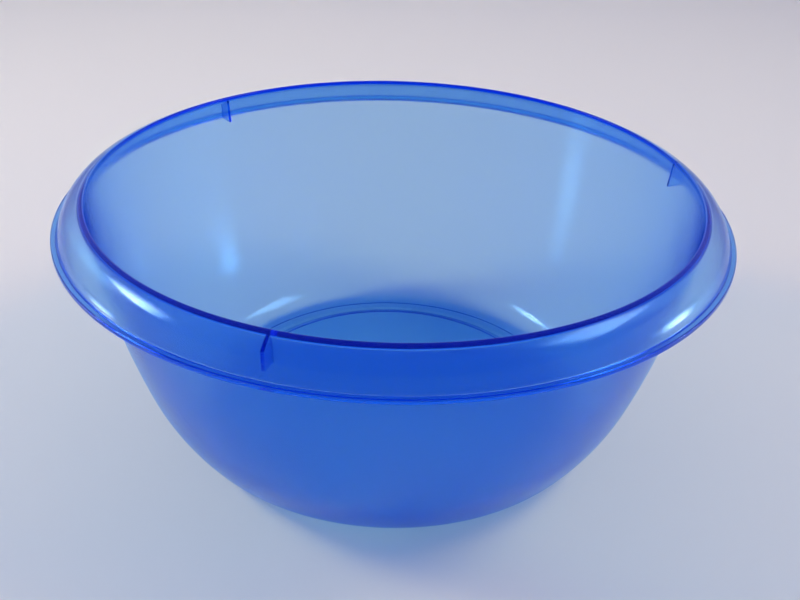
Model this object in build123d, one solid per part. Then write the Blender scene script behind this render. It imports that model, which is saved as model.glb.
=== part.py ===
from build123d import *
import os
from math import atan2, cos, degrees, dist, radians, sin, sqrt

# Round washing up bowl, one moulding in clear blue polypropylene, in millimetres.
# Origin: centre of the base, on the plane that the foot ring stands on. +Z points up.
# The moulding is drawn once as a radial section, r across and z up. It is then cut where its
# form changes, and each stretch is turned about the Z axis into a solid of its own.

# Overall sizes
outer_radius = 180.0            # to the outside of the hem
crown_height = 146.5            # table to the crown of the rim's round
wall = 1.6                      # thickness of the wall, base corner and rim

# Foot and floor
foot_land = 4.0                 # width of the land that touches the table
foot_run = 5.0                  # from the inside of the land out to the flat floor panel
floor_lift = 1.5                # gap between the table and the floor panel
floor_thickness = 1.8
foot_round = 3.0                # rounding of the bends between the foot and the floor panel

# Base step, a land on the inside of the base corner, between two slopes in degrees
step_height = 0.5
step_start_angle = 8.5
step_end_angle = 22.7
step_round_share = 0.4          # rounding of its edges, as a share of its height

# Side, three arcs that run into each other: base corner, lower wall and side wall.
# They hang from the lip, and the radius of the foot follows from them. An end angle is the
# slope of the wall above the horizontal where an arc ends, in degrees.
corner_radius = 28.0
corner_end_angle = 55.0
lower_radius = 130.0
lower_end_angle = 72.0
side_radius = 450.0

# Rim, a quarter round that leans out over the wall and ends in a small outward hem
rim_width = 16.4                # outside of the hem in to the corner under the lip
rim_radius = 20.5               # outside of the round
rim_depth = 19.2                # crown down to the lower face of the hem
hem_reach = 2.4                 # how far the hem stands out past the round
hem_height = 2.9
hem_round_share = 0.24          # rounding of its outer edges, as a share of its height
hem_root_share = 0.45           # hollow corner above it, as a share of its reach
lip_round_share = 0.7           # inner edge of the lip, as a share of the wall
root_round_share = 0.9          # hollow corner under the lip, as a share of the wall
bead_drop = 2.0                 # corner under the lip down to where the side wall begins
bead_reach = 2.9                # corner under the lip out to where the skirt begins

# Stacking ribs, thin webs under the rim
rib_count = 3
rib_thickness = 1.6             # where it meets the lip
rib_reach = 7.0                 # from the corner under the lip out to the rib's outer edge
rib_depth = 17.3                # crown down to the rib's lowest corner, at the wall
rib_rise = 0.8                  # how much higher its outer corner lies
first_rib_angle = 12.5          # degrees round from +X


def on_slope(centre, radius, slope):
    """Point of an arc where the wall stands so many degrees above the horizontal."""
    return (centre[0] + radius * sin(radians(slope)), centre[1] - radius * cos(radians(slope)))


def next_centre(centre, radius, slope, new_radius):
    """Centre of the arc that runs on smoothly with another radius."""
    return on_slope(centre, radius - new_radius, slope)


def next_height(height, radius, slope, new_radius):
    """Height of that centre, where only the height of the first one is known."""
    return next_centre((0, height), radius, slope, new_radius)[1]


def at_height(centre, radius, height):
    """Outer point of a circle at a height."""
    return (centre[0] + sqrt(radius**2 - (height - centre[1])**2), height)


def at_radius(centre, radius, reach):
    """Upper point of a circle at a distance from the bowl's axis."""
    return (reach, centre[1] + sqrt(radius**2 - (reach - centre[0])**2))


def crossing(centre_a, radius_a, centre_b, radius_b):
    """Upper crossing of two circles."""
    gap = dist(centre_a, centre_b)
    along = (gap**2 + radius_a**2 - radius_b**2) / (2 * gap)
    across = sqrt(radius_a**2 - along**2)
    toward = ((centre_b[0] - centre_a[0]) / gap, (centre_b[1] - centre_a[1]) / gap)
    return (centre_a[0] + along * toward[0] - across * toward[1],
            centre_a[1] + along * toward[1] + across * toward[0])


def arc(centre, start, end):
    """Arc about a centre from one point to another."""
    angle = degrees(atan2(start[1] - centre[1], start[0] - centre[0]))
    end_angle = degrees(atan2(end[1] - centre[1], end[0] - centre[0]))
    return CenterArc(centre, dist(centre, start), angle, end_angle - angle)


def rounded(section, place, radius):
    """The section with its corner nearest to a place rounded."""
    corner = section.vertices().sort_by_distance(Vector(*place))[0]
    return fillet(corner, radius)


def stretch(section, r_low, r_high, z_low, z_high):
    """The part of a section inside a window."""
    middle = Pos((r_low + r_high) / 2, (z_low + z_high) / 2)
    return section & (middle * Rectangle(r_high - r_low, z_high - z_low))


def turned(section, start=0.0, sweep=360.0):
    """Solid that a section makes when it is turned about the Z axis."""
    return Rotation(0, 0, start) * revolve(Plane.XZ * section, Axis.Z, revolution_arc=sweep)


# Centres of the arcs
rim_centre = (outer_radius - hem_reach - rim_radius, crown_height - rim_radius)
lip_root = at_radius(rim_centre, rim_radius - wall, outer_radius - rim_width)
side_height = next_height(corner_radius, corner_radius, corner_end_angle, lower_radius)
side_height = next_height(side_height, lower_radius, lower_end_angle, side_radius)
side_centre = (lip_root[0] - sqrt(side_radius**2 - (lip_root[1] - side_height)**2), side_height)
lower_centre = next_centre(side_centre, side_radius, lower_end_angle, lower_radius)
corner_centre = next_centre(lower_centre, lower_radius, corner_end_angle, corner_radius)

# Heights and radii where the form changes
foot_radius = corner_centre[0]
foot_inner = foot_radius - foot_land
floor_radius = foot_inner - foot_run
floor_top = floor_lift + floor_thickness
hem_bottom = crown_height - rim_depth
hem_top = hem_bottom + hem_height
hem_root = hem_root_share * hem_reach

# Outside of the section, from the axis out to the hem
outer_corner_end = on_slope(corner_centre, corner_radius, corner_end_angle)
outer_lower_end = on_slope(lower_centre, lower_radius, lower_end_angle)
skirt_inner_end = at_height(rim_centre, rim_radius - wall, hem_bottom)
outside = [
    Line((0, floor_lift), (floor_radius, floor_lift)),
    Line((floor_radius, floor_lift), (foot_inner, 0)),
    Line((foot_inner, 0), (foot_radius, 0)),
    arc(corner_centre, (foot_radius, 0), outer_corner_end),
    arc(lower_centre, outer_corner_end, outer_lower_end),
    arc(side_centre, outer_lower_end, lip_root),
    arc(rim_centre, lip_root, skirt_inner_end),
]

# Hem, and back over the rim to the inner edge of the lip
skirt_outer_end = at_height(rim_centre, rim_radius, hem_top)
lip_edge = crossing(side_centre, side_radius - wall, rim_centre, rim_radius)
rim = [
    Line(skirt_inner_end, (outer_radius, hem_bottom)),
    Line((outer_radius, hem_bottom), (outer_radius, hem_top)),
    Line((outer_radius, hem_top), skirt_outer_end),
    arc(rim_centre, skirt_outer_end, lip_edge),
]

# Inside of the section, from the lip down to the axis
inner_lower_end = on_slope(lower_centre, lower_radius - wall, lower_end_angle)
inner_corner_end = on_slope(corner_centre, corner_radius - wall, corner_end_angle)
step_corners = [
    on_slope(corner_centre, corner_radius - wall, step_end_angle),
    on_slope(corner_centre, corner_radius - wall - step_height, step_end_angle),
    on_slope(corner_centre, corner_radius - wall - step_height, step_start_angle),
    on_slope(corner_centre, corner_radius - wall, step_start_angle),
]
inside = [
    arc(side_centre, lip_edge, inner_lower_end),
    arc(lower_centre, inner_lower_end, inner_corner_end),
    arc(corner_centre, inner_corner_end, step_corners[0]),
    Line(step_corners[0], step_corners[1]),
    arc(corner_centre, step_corners[1], step_corners[2]),
    Line(step_corners[2], step_corners[3]),
    arc(corner_centre, step_corners[3], (foot_radius, wall)),
    Line((foot_radius, wall), (foot_inner, wall)),
    Line((foot_inner, wall), (floor_radius, floor_top)),
    Line((floor_radius, floor_top), (0, floor_top)),
    Line((0, floor_top), (0, floor_lift)),
]

moulding = make_face(outside + rim + inside)
for place in step_corners:
    moulding = rounded(moulding, place, step_round_share * step_height)
for place in ((floor_radius, floor_lift), (foot_inner, 0), (foot_inner, wall), (floor_radius, floor_top)):
    moulding = rounded(moulding, place, foot_round)
for place in ((outer_radius, hem_bottom), (outer_radius, hem_top)):
    moulding = rounded(moulding, place, hem_round_share * hem_height)
moulding = rounded(moulding, skirt_outer_end, hem_root)
moulding = rounded(moulding, lip_edge, lip_round_share * wall)
moulding = rounded(moulding, lip_root, root_round_share * wall)

# Where one stretch ends and the next begins
step_outer = on_slope(corner_centre, corner_radius, step_end_angle)[0]
corner_top = outer_corner_end[1]
lower_top = outer_lower_end[1]
bead_bottom = lip_root[1] - bead_drop
skirt_start = lip_root[0] + bead_reach
skirt_bottom = hem_top + hem_root

stretches = {
    "floor_panel": stretch(moulding, 0, floor_radius, 0, floor_top),
    "foot_ring": stretch(moulding, floor_radius, foot_radius, 0, floor_top),
    "base_step": stretch(moulding, foot_radius, step_outer, 0, corner_top),
    "base_corner": stretch(moulding, step_outer, outer_radius, 0, corner_top),
    "lower_wall": stretch(moulding, foot_radius, outer_radius, corner_top, lower_top),
    "side_wall": stretch(moulding, foot_radius, skirt_start, lower_top, bead_bottom),
    "lip_bead": stretch(moulding, foot_radius, skirt_start, bead_bottom, crown_height),
    "rim_skirt": stretch(moulding, skirt_start, outer_radius, skirt_bottom, crown_height),
    "rim_hem": stretch(moulding, skirt_start, outer_radius, hem_bottom, skirt_bottom),
}

# A rib fills the corner between wall and rim. It is turned through its own thickness, so that
# it meets the round wall face to face.
rib_foot = at_height(side_centre, side_radius, crown_height - rib_depth)
rib_outer = lip_root[0] + rib_reach
rib_top = at_radius(rim_centre, rim_radius - wall, rib_outer)
rib_corner = (rib_outer, rib_foot[1] + rib_rise)
rib_outline = [
    arc(side_centre, rib_foot, lip_root),
    arc(rim_centre, lip_root, rib_top),
    Line(rib_top, rib_corner),
    Line(rib_corner, rib_foot),
]
rib_section = make_face(rib_outline) - moulding
rib_sweep = degrees(rib_thickness / lip_root[0])

os.makedirs("parts", exist_ok=True)
for name, section in stretches.items():
    export_step(turned(section), f"parts/{name}.step")
for number in range(rib_count):
    angle = first_rib_angle + number * 360 / rib_count
    rib = turned(rib_section, angle - rib_sweep / 2, rib_sweep)
    export_step(rib, f"parts/stacking_rib_{number + 1}.step")
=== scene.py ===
from math import atan2, cos, dist, pi, radians, sin, sqrt

import bmesh
import bpy
from bpy.props import FloatProperty, FloatVectorProperty, IntProperty, PointerProperty
from mathutils import Matrix, Vector


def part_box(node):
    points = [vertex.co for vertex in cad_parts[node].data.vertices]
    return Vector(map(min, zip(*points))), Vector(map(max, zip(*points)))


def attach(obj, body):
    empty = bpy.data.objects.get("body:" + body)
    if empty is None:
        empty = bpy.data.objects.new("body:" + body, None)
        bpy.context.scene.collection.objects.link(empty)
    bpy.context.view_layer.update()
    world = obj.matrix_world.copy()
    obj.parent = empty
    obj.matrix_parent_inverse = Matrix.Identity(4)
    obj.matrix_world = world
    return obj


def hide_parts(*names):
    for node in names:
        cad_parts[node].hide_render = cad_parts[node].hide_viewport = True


bl_info = {
    "name": "Washing up bowl",
    "version": (1, 0, 0),
    "blender": (4, 5, 0),
    "location": "3D View > Sidebar > Bowl",
    "description": "Makes a round washing up bowl in clear blue plastic, and a stage for it",
    "category": "Add Mesh",
}

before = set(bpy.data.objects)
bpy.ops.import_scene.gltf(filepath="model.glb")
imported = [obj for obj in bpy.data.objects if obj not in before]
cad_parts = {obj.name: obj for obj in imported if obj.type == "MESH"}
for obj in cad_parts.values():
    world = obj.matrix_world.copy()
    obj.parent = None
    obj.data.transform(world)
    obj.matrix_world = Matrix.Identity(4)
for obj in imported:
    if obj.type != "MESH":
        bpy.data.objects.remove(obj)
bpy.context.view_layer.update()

MILLIMETRE = 0.001
MERGE_DISTANCE = 0.002 * MILLIMETRE
SHARP_ANGLE = radians(35)   # edges that bend more than this keep a crease

# Divisions of the section's arcs
STEPS = {"outer corner": 18, "inner corner": 10, "land": 5, "land to foot": 3, "lower": 16,
         "side": 24, "rim inside": 10, "rim outside": 14, "rib at wall": 6, "rib at rim": 4}

hem_low, hem_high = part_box("rim_hem")


def linear(hex_code):
    """Linear red, green and blue of an sRGB hex value."""
    channels = [int(hex_code[i:i + 2], 16) / 255 for i in (1, 3, 5)]
    return [c / 12.92 if c <= 0.04045 else ((c + 0.055) / 1.055) ** 2.4 for c in channels]


def length(name, description, millimetres):
    """A property for a length, whose default is given in millimetres."""
    return FloatProperty(name=name, description=description, default=millimetres * MILLIMETRE,
                         min=0, precision=5, unit="LENGTH", subtype="DISTANCE")


def angle(name, description, degrees):
    """A property for an angle, whose default is given in degrees."""
    return FloatProperty(name=name, description=description, default=radians(degrees),
                         unit="ROTATION", subtype="ANGLE")


def number(name, description, value):
    """A property for a plain number that isn't negative."""
    return FloatProperty(name=name, description=description, default=value, min=0, precision=4)


def whole(name, description, value):
    """A property for a count."""
    return IntProperty(name=name, description=description, default=value, min=1)


def colour(name, description, hex_code):
    """A property for a colour, whose default is an sRGB hex value."""
    return FloatVectorProperty(name=name, description=description, default=linear(hex_code),
                               size=3, min=0, max=1, subtype="COLOR")


class BowlSizes(bpy.types.PropertyGroup):
    """Sizes of the bowl's section and of its stacking ribs"""
    outer_radius: length("Outer radius", "Axis to the outside of the hem", hem_high.x / MILLIMETRE)
    hem_bottom: length("Hem bottom", "Table to the lower face of the hem", hem_low.z / MILLIMETRE)
    wall: length("Wall", "Thickness of the wall, base corner and rim", 1.6)
    foot_land: length("Foot land", "Width of the land that touches the table", 4)
    foot_run: length("Foot run", "Inside of the land to the flat floor panel", 5)
    foot_round: length("Foot rounding", "Rounding of the bends beside the foot", 3)
    floor_lift: length("Floor lift", "Gap between the table and the floor panel", 1.5)
    floor_thickness: length("Floor thickness", "Thickness of the floor panel", 1.8)
    step_height: length("Step height", "Extra thickness of the land in the base corner", 0.5)
    step_start: angle("Step start", "Slope of the base corner where that land starts", 8.5)
    step_end: angle("Step end", "Slope of the base corner where that land ends", 22.7)
    step_round: length("Step rounding", "Rounding of that land's edges", 0.2)
    corner_radius: length("Corner radius", "Outside radius of the base corner", 28)
    corner_end: angle("Corner end", "Slope where the base corner ends", 55)
    lower_radius: length("Lower radius", "Outside radius of the lower wall", 130)
    lower_end: angle("Lower end", "Slope where the lower wall ends", 72)
    side_radius: length("Side radius", "Outside radius of the side wall's curve", 450)
    rim_width: length("Rim width", "Outside of the hem to the corner under the lip", 16.4)
    rim_radius: length("Rim radius", "Outside radius of the rim's round", 20.5)
    rim_depth: length("Rim depth", "Crown of the rim's round to the lower face of the hem", 19.2)
    hem_reach: length("Hem reach", "How far the hem stands out past the round", 2.4)
    hem_height: length("Hem height", "Height of the hem's outer face", 2.9)
    hem_round: length("Hem rounding", "Rounding of the hem's outer edges", 0.696)
    hem_root: length("Hem root", "Rounding of the hollow corner above the hem", 1.08)
    lip_round: length("Lip rounding", "Rounding of the inner edge of the lip", 1.12)
    root_round: length("Root rounding", "Rounding of the hollow corner under the lip", 1.44)
    rib_count: whole("Ribs", "Number of stacking ribs under the rim", 3)
    rib_thickness: length("Rib thickness", "Thickness of a rib at the lip", 1.6)
    rib_reach: length("Rib reach", "Corner under the lip to the outer edge of a rib", 7)
    rib_depth: length("Rib depth", "Crown of the rim's round to a rib's lowest corner", 17.3)
    rib_rise: length("Rib rise", "How much higher a rib's outer corner lies", 0.8)
    first_rib: angle("First rib", "Direction of the first rib, round from +X", 12.5)
    segments: whole("Segments", "Divisions of the bowl round its axis", 288)
    corner_steps: whole("Corner steps", "Divisions of each rounded corner", 6)


class BowlFinish(bpy.types.PropertyGroup):
    """Look of the clear blue plastic"""
    tint: colour("Tint", "Colour that the plastic lets through", "#00DBFF")
    density: number("Density", "How strongly it tints, for each metre of plastic", 416)
    bend: number("Index of refraction", "Polypropylene has 1.49", 1.44)
    shine: colour("Shine", "Colour of the reflections on the outside", "#BCE3FF")
    skin: number("Skin", "Index of refraction that gives the strength of those reflections", 1.3)
    inner_shine: colour("Inner shine", "Colour of the reflections inside the plastic", "#8CD2FF")
    polish: number("Polish", "Roughness of the surface, low for sharp reflections", 0.05)
    blur: number("Blur", "Roughness with which the plastic blurs what lies behind it", 0.2)
    glow: colour("Glow", "Colour of the light that the plastic scatters", "#0036FF")
    haze: number("Haze", "Share of the light that each surface scatters", 0.103)
    passed: number("Passed light", "Share of the light that each surface passes on", 0.881)


class BowlStage(bpy.types.PropertyGroup):
    """Floor, background and lamps that show the bowl"""
    # The two floor colours are painted shade and light: the near one is darker and the far one
    # lighter, in place of light that falls off towards the front.
    painted_shade_near_floor: colour("Near floor", "Colour of the floor in front of the bowl", "#EAE2DA")
    painted_light_far_floor: colour("Far floor", "Colour of the floor behind the bowl", "#F9EFDE")
    back_light: colour("Back light", "Colour of the soft light from behind the bowl", "#C1D7FF")
    front_light: colour("Front light", "Colour of the faint light from in front", "#181894")
    light_level: number("Surroundings", "Brightness of the light from all round", 0.97)
    lamp_level: number("Lamps", "Brightness of all the lamps, 1 as in the photograph", 1)


def add_node(tree, kind, settings=None, inputs=None):
    """Adds a node, sets its settings, and sets or links its inputs, by name or number."""
    node = tree.nodes.new(kind)
    for name, value in (settings or {}).items():
        setattr(node, name, value)
    for name, value in (inputs or {}).items():
        if isinstance(value, bpy.types.NodeSocket):
            tree.links.new(value, node.inputs[name])
        else:
            node.inputs[name].default_value = value
    return node


def link_object(name, data):
    """An object of the scene with these data."""
    made = bpy.data.objects.new(name, data)
    bpy.context.scene.collection.objects.link(made)
    return made


# Geometry of the section, r across and z up

def on_slope(centre, radius, slope):
    """Point of an arc where the wall stands at an angle above the horizontal."""
    return (centre[0] + radius * sin(slope), centre[1] - radius * cos(slope))


def at_height(centre, radius, height):
    """Outer point of a circle at a height."""
    return (centre[0] + sqrt(radius**2 - (height - centre[1])**2), height)


def at_radius(centre, radius, reach):
    """Upper point of a circle at a distance from the bowl's axis."""
    return (reach, centre[1] + sqrt(radius**2 - (reach - centre[0])**2))


def crossing(centre_a, radius_a, centre_b, radius_b):
    """Upper crossing of two circles."""
    gap = dist(centre_a, centre_b)
    along = (gap**2 + radius_a**2 - radius_b**2) / (2 * gap)
    across = sqrt(radius_a**2 - along**2)
    toward = ((centre_b[0] - centre_a[0]) / gap, (centre_b[1] - centre_a[1]) / gap)
    return (centre_a[0] + along * toward[0] - across * toward[1],
            centre_a[1] + along * toward[1] + across * toward[0])


def arc(centre, start, end, steps):
    """Points between the two ends of an arc, without the ends."""
    radius = dist(centre, start)
    first = atan2(start[1] - centre[1], start[0] - centre[0])
    sweep = atan2(end[1] - centre[1], end[0] - centre[0]) - first
    turns = [first + sweep * step / steps for step in range(1, steps)]
    return [(centre[0] + radius * cos(turn), centre[1] + radius * sin(turn)) for turn in turns]


class Section:
    """Centres and corners that the wall, the rim and the ribs share."""

    def __init__(self, sizes):
        s = self.sizes = sizes
        self.crown = s.hem_bottom + s.rim_depth
        self.rim = (s.outer_radius - s.hem_reach - s.rim_radius, self.crown - s.rim_radius)
        self.lip_root = at_radius(self.rim, s.rim_radius - s.wall, s.outer_radius - s.rim_width)
        side_height = (s.corner_radius + (s.lower_radius - s.corner_radius) * cos(s.corner_end)
                       + (s.side_radius - s.lower_radius) * cos(s.lower_end))
        side_reach = sqrt(s.side_radius**2 - (self.lip_root[1] - side_height)**2)
        self.side = (self.lip_root[0] - side_reach, side_height)
        self.lower = on_slope(self.side, s.side_radius - s.lower_radius, s.lower_end)
        self.corner = on_slope(self.lower, s.lower_radius - s.corner_radius, s.corner_end)
        self.lip_edge = crossing(self.side, s.side_radius - s.wall, self.rim, s.rim_radius)

    def outside(self):
        """Underside and outside of the wall, from the axis to the corner under the lip."""
        s = self.sizes
        foot = self.corner[0]
        corner_end = on_slope(self.corner, s.corner_radius, s.corner_end)
        lower_end = on_slope(self.lower, s.lower_radius, s.lower_end)
        return [
            (0, s.floor_lift),
            (foot - s.foot_land - s.foot_run, s.floor_lift, s.foot_round),
            (foot - s.foot_land, 0, s.foot_round),
            (foot, 0),
            *arc(self.corner, (foot, 0), corner_end, STEPS["outer corner"]), corner_end,
            *arc(self.lower, corner_end, lower_end, STEPS["lower"]), lower_end,
            *arc(self.side, lower_end, self.lip_root, STEPS["side"]),
            (*self.lip_root, s.root_round),
        ]

    def over_the_rim(self):
        """Inside of the rim, the hem, and back over the rim to the inner edge of the lip."""
        s = self.sizes
        hem_top = s.hem_bottom + s.hem_height
        inner_end = at_height(self.rim, s.rim_radius - s.wall, s.hem_bottom)
        outer_end = at_height(self.rim, s.rim_radius, hem_top)
        return [
            *arc(self.rim, self.lip_root, inner_end, STEPS["rim inside"]), inner_end,
            (s.outer_radius, s.hem_bottom, s.hem_round),
            (s.outer_radius, hem_top, s.hem_round),
            (*outer_end, s.hem_root),
            *arc(self.rim, outer_end, self.lip_edge, STEPS["rim outside"]),
            (*self.lip_edge, s.lip_round),
        ]

    def inside(self):
        """Inside of the wall, from the lip down to the middle of the floor."""
        s = self.sizes
        foot = self.corner[0]
        floor_top = s.floor_lift + s.floor_thickness
        inner = s.corner_radius - s.wall
        lower_end = on_slope(self.lower, s.lower_radius - s.wall, s.lower_end)
        corner_end = on_slope(self.corner, inner, s.corner_end)
        step_outer = on_slope(self.corner, inner, s.step_end)
        step_high = on_slope(self.corner, inner - s.step_height, s.step_end)
        step_low = on_slope(self.corner, inner - s.step_height, s.step_start)
        step_inner = on_slope(self.corner, inner, s.step_start)
        return [
            *arc(self.side, self.lip_edge, lower_end, STEPS["side"]), lower_end,
            *arc(self.lower, lower_end, corner_end, STEPS["lower"]), corner_end,
            *arc(self.corner, corner_end, step_outer, STEPS["inner corner"]),
            (*step_outer, s.step_round),
            (*step_high, s.step_round),
            *arc(self.corner, step_high, step_low, STEPS["land"]), (*step_low, s.step_round),
            (*step_inner, s.step_round),
            *arc(self.corner, step_inner, (foot, s.wall), STEPS["land to foot"]), (foot, s.wall),
            (foot - s.foot_land, s.wall, s.foot_round),
            (foot - s.foot_land - s.foot_run, floor_top, s.foot_round),
            (0, floor_top),
        ]

    def rib(self):
        """Outline of a rib, which reaches half way into the wall and the rim."""
        s = self.sizes
        side, rim = s.side_radius - s.wall / 2, s.rim_radius - s.wall / 2
        low = at_height(self.side, side, self.crown - s.rib_depth)
        outer = self.lip_root[0] + s.rib_reach
        high = crossing(self.side, side, self.rim, rim)
        end = at_radius(self.rim, rim, outer)
        return [low, *arc(self.side, low, high, STEPS["rib at wall"]),
                high, *arc(self.rim, high, end, STEPS["rib at rim"]),
                end, (outer, low[1] + s.rib_rise)]


# Meshes and the bowl's node tree

def section_mesh(points):
    """A line of edges through points, each with the radius that its corner is rounded to."""
    places = [(point[0], 0, point[1]) for point in points]
    radii = [point[2] if len(point) > 2 else 0 for point in points]
    mesh = bpy.data.meshes.new("bowl_section")
    mesh.from_pydata(places, [(i, i + 1) for i in range(len(points) - 1)], [])
    rounding = mesh.attributes.new("rounding", "FLOAT", "POINT")
    rounding.data.foreach_set("value", radii)
    return mesh


def rib_mesh(outline, half_turn):
    """A rib over the X axis, turned through its own thickness so that it meets the round wall."""
    shape = bmesh.new()
    sides = [[shape.verts.new((r * cos(turn), r * sin(turn), z)) for r, z in outline]
             for turn in (-half_turn, half_turn)]
    for side in sides:
        shape.faces.new(side)
    for i in range(len(outline)):
        shape.faces.new((sides[0][i - 1], sides[0][i], sides[1][i], sides[1][i - 1]))
    bmesh.ops.recalc_face_normals(shape, faces=shape.faces)
    mesh = bpy.data.meshes.new("stacking_rib")
    shape.to_mesh(mesh)
    shape.free()
    return mesh


def moulding_tree():
    """Turns a section about the Z axis, rounds its corners and joins ribs to it."""
    tree = bpy.data.node_groups.new("turned_moulding", "GeometryNodeTree")
    for name, kind in (("Section", "Geometry"), ("Segments", "Int"), ("Corner Steps", "Int"),
                       ("Lathe Radius", "Float"), ("Rib", "Object"), ("Ribs", "Int"),
                       ("First Rib", "Float"), ("Merge Distance", "Float"),
                       ("Sharp Angle", "Float"), ("Material", "Material")):
        tree.interface.new_socket(name, in_out="INPUT", socket_type="NodeSocket" + kind)
    tree.interface.new_socket("Moulding", in_out="OUTPUT", socket_type="NodeSocketGeometry")
    given = add_node(tree, "NodeGroupInput").outputs

    # The circle's normals point outwards and the swept profile's Y runs down, so the section is
    # turned flat and set off by the circle's radius.
    line = add_node(tree, "GeometryNodeMeshToCurve", inputs={"Mesh": given["Section"]})
    rounding = add_node(tree, "GeometryNodeInputNamedAttribute", {"data_type": "FLOAT"},
                        {"Name": "rounding"})
    rounded = add_node(tree, "GeometryNodeFilletCurve", {"mode": "POLY"}, {
        "Curve": line.outputs["Curve"], "Count": given["Corner Steps"],
        "Radius": rounding.outputs["Attribute"], "Limit Radius": False})
    back = add_node(tree, "ShaderNodeMath", {"operation": "MULTIPLY"},
                    {0: given["Lathe Radius"], 1: -1})
    offset = add_node(tree, "ShaderNodeCombineXYZ", inputs={"X": back.outputs[0]})
    profile = add_node(tree, "GeometryNodeTransform", inputs={
        "Geometry": rounded.outputs["Curve"], "Translation": offset.outputs[0],
        "Rotation": (pi / 2, 0, 0)})
    circle = add_node(tree, "GeometryNodeCurvePrimitiveCircle", inputs={
        "Resolution": given["Segments"], "Radius": given["Lathe Radius"]})
    upright = add_node(tree, "GeometryNodeSetCurveNormal", {"mode": "Z_UP"},
                       {"Curve": circle.outputs["Curve"]})
    swept = add_node(tree, "GeometryNodeCurveToMesh", inputs={
        "Curve": upright.outputs["Curve"], "Profile Curve": profile.outputs["Geometry"]})
    shell = add_node(tree, "GeometryNodeMergeByDistance", inputs={
        "Geometry": swept.outputs["Mesh"], "Distance": given["Merge Distance"]})

    # Ribs
    spots = add_node(tree, "GeometryNodePoints", inputs={"Count": given["Ribs"]})
    place = add_node(tree, "GeometryNodeInputIndex")
    turn = add_node(tree, "ShaderNodeMath", {"operation": "DIVIDE"}, {0: 2 * pi, 1: given["Ribs"]})
    turned = add_node(tree, "ShaderNodeMath", {"operation": "MULTIPLY_ADD"}, {
        0: place.outputs[0], 1: turn.outputs[0], 2: given["First Rib"]})
    direction = add_node(tree, "ShaderNodeCombineXYZ", inputs={"Z": turned.outputs[0]})
    rib = add_node(tree, "GeometryNodeObjectInfo", inputs={"Object": given["Rib"]})
    ribs = add_node(tree, "GeometryNodeInstanceOnPoints", inputs={
        "Points": spots.outputs[0], "Instance": rib.outputs["Geometry"],
        "Rotation": direction.outputs[0]})
    real_ribs = add_node(tree, "GeometryNodeRealizeInstances",
                         inputs={"Geometry": ribs.outputs[0]})

    joined = add_node(tree, "GeometryNodeMeshBoolean", {"operation": "UNION", "solver": "EXACT"})
    tree.links.new(shell.outputs["Geometry"], joined.inputs["Mesh 2"])
    tree.links.new(real_ribs.outputs["Geometry"], joined.inputs["Mesh 2"])
    bend = add_node(tree, "GeometryNodeInputMeshEdgeAngle")
    gentle = add_node(tree, "FunctionNodeCompare",
                      {"data_type": "FLOAT", "operation": "LESS_THAN"},
                      {0: bend.outputs["Unsigned Angle"], 1: given["Sharp Angle"]})
    soft_faces = add_node(tree, "GeometryNodeSetShadeSmooth", {"domain": "FACE"},
                          {"Geometry": joined.outputs["Mesh"], "Shade Smooth": True})
    soft_edges = add_node(tree, "GeometryNodeSetShadeSmooth", {"domain": "EDGE"}, {
        "Geometry": soft_faces.outputs["Geometry"], "Shade Smooth": gentle.outputs["Result"]})
    real = add_node(tree, "GeometryNodeRealizeInstances",
                    inputs={"Geometry": soft_edges.outputs["Geometry"]})
    coated = add_node(tree, "GeometryNodeSetMaterial", inputs={
        "Geometry": real.outputs["Geometry"], "Material": given["Material"]})
    add_node(tree, "NodeGroupOutput", inputs={"Moulding": coated.outputs["Geometry"]})
    return tree


def set_inputs(modifier, values):
    """Sets a node modifier's inputs, given by the names of their sockets."""
    for item in modifier.node_group.interface.items_tree:
        if item.in_out == "INPUT" and item.name in values:
            modifier[item.identifier] = values[item.name]


def made_plain(piece):
    """Turns what a piece's modifiers make into its own plain mesh."""
    shown = piece.evaluated_get(bpy.context.evaluated_depsgraph_get())
    drawn, piece.data = piece.data, bpy.data.meshes.new_from_object(shown)
    piece.modifiers.clear()
    bpy.data.meshes.remove(drawn)


# Materials

# Unevenness of the moulded plastic: width and depth of its slow waves and of its fine orange
# peel, and width of the patches in which it blurs a little more or less, by what share, and
# between which values of their pattern
WAVE_WIDTH, WAVE_DEPTH = 45 * MILLIMETRE, 0.25 * MILLIMETRE
PEEL_WIDTH, PEEL_DEPTH = 2.5 * MILLIMETRE, 0.004 * MILLIMETRE
PATCH_WIDTH, PATCH_SHARE, PATCH_RANGE = 30 * MILLIMETRE, 0.15, (0.35, 0.7)

# Where the floor's painted shade changes, from its darker colour in front of the bowl to its
# lighter one behind it, in metres
PAINTED_SHADE_NEAR, PAINTED_LIGHT_FAR = -0.5, 0.9

# The Mix node has one output for each kind of value, and this is the colour's.
MIXED_COLOUR = 2


def empty_material(name):
    """A material with only its output node, and that node."""
    made = bpy.data.materials.new(name)
    made.use_nodes = True
    made.node_tree.nodes.clear()
    return made, add_node(made.node_tree, "ShaderNodeOutputMaterial")


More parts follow.
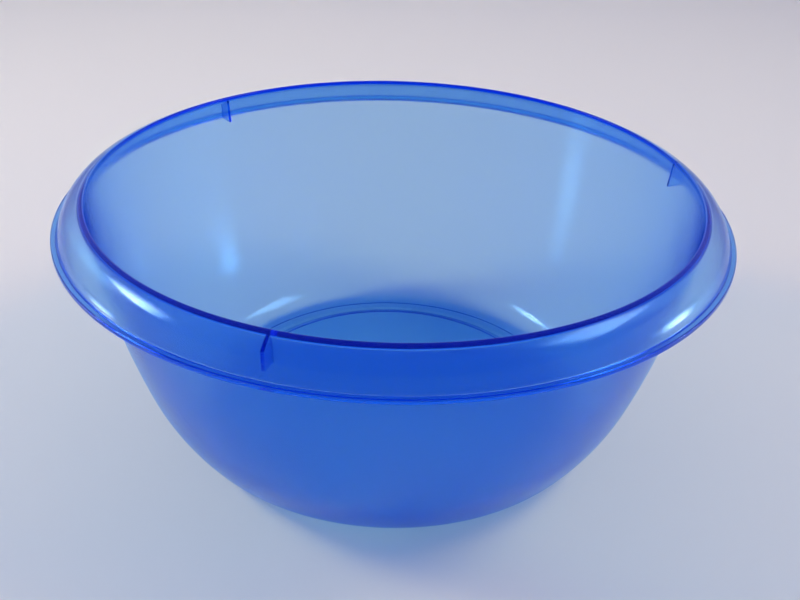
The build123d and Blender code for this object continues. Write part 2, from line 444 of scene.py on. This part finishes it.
def clear_blue_polypropylene(finish):
    """Polypropylene dyed through and injection moulded in a polished tool."""
    # Its smooth skin gives sharp, nearly white reflections, which waver a little because the
    # thin wall cools unevenly. The plastic behind it is slightly cloudy: it lets light through
    # but blurs what lies behind it, and looks deeper blue where light runs further through it.
    made, output = empty_material("clear_blue_polypropylene")
    tree = made.node_tree
    place = add_node(tree, "ShaderNodeTexCoord").outputs["Object"]
    waves = add_node(tree, "ShaderNodeTexNoise", inputs={
        "Vector": place, "Scale": 1 / WAVE_WIDTH, "Detail": 1, "Roughness": 0.4})
    peel = add_node(tree, "ShaderNodeTexNoise", inputs={
        "Vector": place, "Scale": 1 / PEEL_WIDTH, "Detail": 2, "Roughness": 0.5})
    patches = add_node(tree, "ShaderNodeTexNoise", inputs={
        "Vector": place, "Scale": 1 / PATCH_WIDTH, "Detail": 4, "Roughness": 0.6})
    wavy = add_node(tree, "ShaderNodeBump", inputs={
        "Height": waves.outputs["Fac"], "Strength": 1, "Distance": WAVE_DEPTH})
    pitted = add_node(tree, "ShaderNodeBump", inputs={
        "Height": peel.outputs["Fac"], "Strength": 1, "Distance": PEEL_DEPTH,
        "Normal": wavy.outputs["Normal"]})
    normal = pitted.outputs["Normal"]
    blur = add_node(tree, "ShaderNodeMapRange", inputs={
        "Value": patches.outputs["Fac"],
        "From Min": PATCH_RANGE[0], "From Max": PATCH_RANGE[1],
        "To Min": (1 - PATCH_SHARE) * finish.blur, "To Max": (1 + PATCH_SHARE) * finish.blur})

    # The body only lets light through. Its reflections come from two mirrors, one for the
    # outside and a bluer one for the faces that are met from inside the plastic.
    body = add_node(tree, "ShaderNodeBsdfPrincipled", inputs={
        "Base Color": (1, 1, 1, 1), "Transmission Weight": 1, "IOR": finish.bend,
        "Specular Tint": (0, 0, 0, 1), "Roughness": blur.outputs["Result"], "Normal": normal})
    sides = []
    for shine, strength in ((finish.shine, finish.skin), (finish.inner_shine, finish.bend)):
        mirror = add_node(tree, "ShaderNodeBsdfAnisotropic", inputs={
            "Color": (*shine, 1), "Roughness": finish.polish, "Normal": normal})
        share = add_node(tree, "ShaderNodeFresnel", inputs={"IOR": strength, "Normal": normal})
        side = add_node(tree, "ShaderNodeMixShader", inputs={
            0: share.outputs["Fac"], 1: body.outputs["BSDF"], 2: mirror.outputs["BSDF"]})
        sides.append(side.outputs["Shader"])
    met_inside = add_node(tree, "ShaderNodeNewGeometry").outputs["Backfacing"]
    clear = add_node(tree, "ShaderNodeMixShader", inputs={0: met_inside, 1: sides[0], 2: sides[1]})

    # A share of the light is scattered, half of it back and half of it through the plastic.
    glow = (*finish.glow, 1)
    back = add_node(tree, "ShaderNodeBsdfDiffuse", inputs={"Color": glow})
    through = add_node(tree, "ShaderNodeBsdfTranslucent", inputs={"Color": glow})
    milk = add_node(tree, "ShaderNodeMixShader", inputs={
        0: 0.5, 1: back.outputs["BSDF"], 2: through.outputs["BSDF"]})
    surface = add_node(tree, "ShaderNodeMixShader", inputs={
        0: finish.haze, 1: clear.outputs["Shader"], 2: milk.outputs["Shader"]})

    # Light reaches matt surfaces behind the thin plastic in straight lines, tinted by it.
    ray = add_node(tree, "ShaderNodeLightPath").outputs
    passed = (finish.passed, finish.passed, finish.passed, 1)
    open_way = add_node(tree, "ShaderNodeBsdfTransparent", inputs={"Color": passed})
    for kind in ("Is Diffuse Ray", "Is Shadow Ray"):
        surface = add_node(tree, "ShaderNodeMixShader", inputs={
            0: ray[kind], 1: surface.outputs["Shader"], 2: open_way.outputs["BSDF"]})
    dye = add_node(tree, "ShaderNodeVolumeAbsorption", inputs={
        "Color": (*finish.tint, 1), "Density": finish.density})
    tree.links.new(surface.outputs["Shader"], output.inputs["Surface"])
    tree.links.new(dye.outputs["Volume"], output.inputs["Volume"])
    return made


def matt_paper_with_painted_shade(stage):
    """Seamless background paper, uncoated."""
    # It looks matt. Its warm pale grey carries painted shade and light: it is darker in front of
    # the bowl and lighter behind it, in place of light that falls off towards the front.
    made, output = empty_material("matt_paper_painted_shade")
    tree = made.node_tree
    place = add_node(tree, "ShaderNodeTexCoord").outputs["Object"]
    apart = add_node(tree, "ShaderNodeSeparateXYZ", inputs={"Vector": place})
    # Painted shade: the floor's colour goes from darker in front of the bowl to lighter behind it.
    depth = add_node(tree, "ShaderNodeMapRange", {"interpolation_type": "SMOOTHSTEP"}, {
        "Value": apart.outputs["Y"], "From Min": PAINTED_SHADE_NEAR, "From Max": PAINTED_LIGHT_FAR})
    tone = add_node(tree, "ShaderNodeMix", {"data_type": "RGBA"}, {
        "Factor": depth.outputs["Result"],
        "A": (*stage.painted_shade_near_floor, 1), "B": (*stage.painted_light_far_floor, 1)})
    surface = add_node(tree, "ShaderNodeBsdfPrincipled", inputs={
        "Base Color": tone.outputs[MIXED_COLOUR], "Roughness": 0.9, "Specular IOR Level": 0.1})
    tree.links.new(surface.outputs["BSDF"], output.inputs["Surface"])
    return made


# Stage

STAGE_FLAT = 2.2            # radius of the flat floor, in metres
STAGE_CURVE = 0.7           # radius of the cove that turns it up
STAGE_HEIGHT = 1.6
COVE_STEPS = 12             # divisions of the cove, and of the stage round its axis
STAGE_STEPS = 96

# Lamps at both sides, upright panels of light that fade towards their edges. In metres: place
# along X, middle along Y, width, height of the lower and upper edge, and the width of the fade
# at the sides, the lower and the upper edge.
LAMPS = {
    "high_left_lamp": {
        "radiance": 46, "x": -1.25, "middle": 0.13, "width": 1.0, "bottom": 0.82, "top": 1.4,
        "side_fade": 0.5, "bottom_fade": 0.05, "top_fade": 0.52},
    "high_right_lamp": {
        "radiance": 10, "x": 1.25, "middle": 0.06, "width": 1.4, "bottom": 1.18, "top": 2.7,
        "side_fade": 0.5, "bottom_fade": 0.06, "top_fade": 1},
    "low_left_lamp": {
        "radiance": 10, "x": -0.7, "middle": -0.03, "width": 0.24, "bottom": 0.002,
        "top": 0.11, "side_fade": 0.1, "bottom_fade": 0.005, "top_fade": 0.08},
    "low_right_lamp": {
        "radiance": 19, "x": 1.25, "middle": 0.0, "width": 0.5, "bottom": 0.02, "top": 0.34,
        "side_fade": 0.24, "bottom_fade": 0.06, "top_fade": 0.18},
}
FADE_POWER = 2              # above 1, the light gathers in the middle of a lamp

# The photograph's camera, worked out from the circles of the lip, the hem and the foot
CAMERA_PLACE = (0.0, -0.48363, 0.35573)
CAMERA_PITCH = 30.713       # degrees downwards
CAMERA_YAW = 0.495          # degrees towards +X
CAMERA_ROLL = 1.825         # degrees that the picture is turned clockwise
CAMERA_LENS = 43.65         # millimetres
CAMERA_SENSOR = 36          # width in millimetres
CAMERA_RANGE = (0.01, 20)   # nearest and furthest that it sees, in metres


def add_floor(stage):
    """A round floor that curves up into a wall all round."""
    outline = [(0, 0), (STAGE_FLAT, 0)]
    centre = (STAGE_FLAT, STAGE_CURVE)
    wall = (STAGE_FLAT + STAGE_CURVE, STAGE_CURVE)
    outline += arc(centre, outline[-1], wall, COVE_STEPS) + [wall, (wall[0], STAGE_HEIGHT)]
    shape = bmesh.new()
    line = [shape.verts.new((r, 0, z)) for r, z in outline]
    edges = [shape.edges.new(pair) for pair in zip(line, line[1:])]
    bmesh.ops.spin(shape, geom=line + edges, cent=(0, 0, 0), axis=(0, 0, 1), angle=2 * pi,
                   steps=STAGE_STEPS, use_merge=True)
    bmesh.ops.remove_doubles(shape, verts=shape.verts, dist=MILLIMETRE)
    bmesh.ops.recalc_face_normals(shape, faces=shape.faces)
    if sum(face.normal.z for face in shape.faces) < 0:
        bmesh.ops.reverse_faces(shape, faces=shape.faces)
    for face in shape.faces:
        face.smooth = True
    mesh = bpy.data.meshes.new("studio_floor")
    shape.to_mesh(mesh)
    shape.free()
    mesh.materials.append(matt_paper_with_painted_shade(stage))
    floor = link_object("studio_floor", mesh)


def fading_light(name, lamp, level):
    """White diffusing cloth over a lamp."""
    # It glows softly and is brightest in the middle, so that its reflections have no hard edge.
    made, output = empty_material(name)
    tree = made.node_tree
    place = add_node(tree, "ShaderNodeSeparateXYZ", inputs={
        "Vector": add_node(tree, "ShaderNodeUVMap", {"uv_map": "UVMap"}).outputs["UV"]})
    strength = level * lamp["radiance"]
    for axis, edge, inwards in (
            ("X", 0, lamp["side_fade"]), ("X", lamp["width"], -lamp["side_fade"]),
            ("Y", lamp["bottom"], lamp["bottom_fade"]), ("Y", lamp["top"], -lamp["top_fade"])):
        share = add_node(tree, "ShaderNodeMapRange", {"interpolation_type": "SMOOTHSTEP"}, {
            "Value": place.outputs[axis], "From Min": edge, "From Max": edge + inwards})
        gathered = add_node(tree, "ShaderNodeMath", {"operation": "POWER"},
                            {0: share.outputs["Result"], 1: FADE_POWER})
        strength = add_node(tree, "ShaderNodeMath", {"operation": "MULTIPLY"}, {
            0: gathered.outputs[0], 1: strength}).outputs[0]
    light = add_node(tree, "ShaderNodeEmission", inputs={"Strength": strength})
    tree.links.new(light.outputs["Emission"], output.inputs["Surface"])
    return made


def add_lamp(name, lamp, level):
    """A panel of light that faces the bowl, whose UV map is in metres."""
    start = lamp["middle"] - lamp["width"] / 2
    spots = [(across, z) for z in (lamp["bottom"], lamp["top"]) for across in (0, lamp["width"])]
    mesh = bpy.data.meshes.new(name)
    mesh.from_pydata([(lamp["x"], start + across, z) for across, z in spots], [],
                     [(0, 1, 3, 2) if lamp["x"] < 0 else (2, 3, 1, 0)])
    spread = mesh.uv_layers.new(name="UVMap")
    for loop in mesh.loops:
        spread.data[loop.index].uv = spots[loop.vertex_index]
    mesh.materials.append(fading_light(f"{name}_cloth", lamp, level))
    panel = link_object(name, mesh)
    panel.visible_camera = False


def set_world(stage):
    """Soft light from all round, bright from behind the bowl, and dim and blue from the front."""
    world = bpy.data.worlds.new("surroundings")
    world.use_nodes = True
    tree = world.node_tree
    tree.nodes.clear()
    way = add_node(tree, "ShaderNodeSeparateXYZ", inputs={
        "Vector": add_node(tree, "ShaderNodeTexCoord").outputs["Generated"]})
    behind = add_node(tree, "ShaderNodeMapRange", inputs={
        "Value": way.outputs["Y"], "From Min": -1, "From Max": 1})
    tone = add_node(tree, "ShaderNodeMix", {"data_type": "RGBA"}, {
        "Factor": behind.outputs["Result"],
        "A": (*stage.front_light, 1), "B": (*stage.back_light, 1)})
    light = add_node(tree, "ShaderNodeBackground", inputs={
        "Color": tone.outputs[MIXED_COLOUR], "Strength": stage.light_level})
    add_node(tree, "ShaderNodeOutputWorld", inputs={"Surface": light.outputs["Background"]})
    bpy.context.scene.world = world


def add_camera():
    """Camera at the photograph's place, angle and focal length."""
    pitch, yaw, roll = radians(CAMERA_PITCH), radians(CAMERA_YAW), radians(CAMERA_ROLL)
    ahead = Vector((sin(yaw) * cos(pitch), cos(yaw) * cos(pitch), -sin(pitch)))
    right = Vector((cos(yaw), -sin(yaw), 0))
    up = right.cross(ahead)
    across = cos(roll) * right + sin(roll) * up
    above = cos(roll) * up - sin(roll) * right
    lens = bpy.data.cameras.new("photo_camera")
    lens.lens, lens.sensor_width = CAMERA_LENS, CAMERA_SENSOR
    lens.clip_start, lens.clip_end = CAMERA_RANGE
    camera = link_object("photo_camera", lens)
    facing = Matrix((across, above, -ahead)).transposed().to_4x4()
    camera.matrix_world = Matrix.Translation(CAMERA_PLACE) @ facing
    bpy.context.scene.camera = camera


class BOWL_OT_make_bowl(bpy.types.Operator):
    """Make the bowl as one clear moulding with its stacking ribs"""
    bl_idname = "bowl.make_bowl"
    bl_label = "Make bowl"

    def execute(self, context):
        sizes = context.scene.bowl_sizes
        section = Section(sizes)
        bowl = link_object("washing_up_bowl", section_mesh(
            section.outside() + section.over_the_rim() + section.inside()))
        rib = link_object("stacking_rib", rib_mesh(
            section.rib(), sizes.rib_thickness / section.lip_root[0] / 2))
        modifier = bowl.modifiers.new("Turned moulding", "NODES")
        modifier.node_group = moulding_tree()
        set_inputs(modifier, {
            "Segments": sizes.segments, "Corner Steps": sizes.corner_steps,
            "Lathe Radius": section.corner[0], "Rib": rib, "Ribs": sizes.rib_count,
            "First Rib": sizes.first_rib, "Merge Distance": MERGE_DISTANCE,
            "Sharp Angle": SHARP_ANGLE,
            "Material": clear_blue_polypropylene(context.scene.bowl_finish)})
        made_plain(bowl)
        bpy.data.objects.remove(rib)
        if not bowl.data.polygons:
            raise RuntimeError("the bowl came out empty")
        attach(bowl, "root")
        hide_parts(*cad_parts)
        return {"FINISHED"}


class BOWL_OT_make_stage(bpy.types.Operator):
    """Make the floor, the lamps, the surroundings and the camera"""
    bl_idname = "bowl.make_stage"
    bl_label = "Make stage"

    def execute(self, context):
        stage = context.scene.bowl_stage
        add_floor(stage)
        for name, lamp in LAMPS.items():
            add_lamp(name, lamp, stage.lamp_level)
        set_world(stage)
        add_camera()
        context.scene.view_settings.view_transform = "Standard"
        return {"FINISHED"}


class BOWL_PT_sidebar(bpy.types.Panel):
    """Sizes, finish and stage of the washing up bowl"""
    bl_idname = "BOWL_PT_sidebar"
    bl_label = "Washing up bowl"
    bl_space_type = "VIEW_3D"
    bl_region_type = "UI"
    bl_category = "Bowl"

    def draw(self, context):
        for title, group, operator in (
                ("Sizes", context.scene.bowl_sizes, BOWL_OT_make_bowl),
                ("Finish", context.scene.bowl_finish, None),
                ("Stage", context.scene.bowl_stage, BOWL_OT_make_stage)):
            box = self.layout.box()
            box.label(text=title)
            for name in type(group).__annotations__:
                box.prop(group, name)
            if operator:
                box.operator(operator.bl_idname)


CLASSES = (BowlSizes, BowlFinish, BowlStage,
           BOWL_OT_make_bowl, BOWL_OT_make_stage, BOWL_PT_sidebar)


def register():
    for kind in CLASSES:
        bpy.utils.register_class(kind)
    bpy.types.Scene.bowl_sizes = PointerProperty(type=BowlSizes)
    bpy.types.Scene.bowl_finish = PointerProperty(type=BowlFinish)
    bpy.types.Scene.bowl_stage = PointerProperty(type=BowlStage)


def unregister():
    del bpy.types.Scene.bowl_stage
    del bpy.types.Scene.bowl_finish
    del bpy.types.Scene.bowl_sizes
    for kind in reversed(CLASSES):
        bpy.utils.unregister_class(kind)


def main():
    register()
    bpy.ops.bowl.make_bowl()
    bpy.ops.bowl.make_stage()


if __name__ == "__main__":
    main()
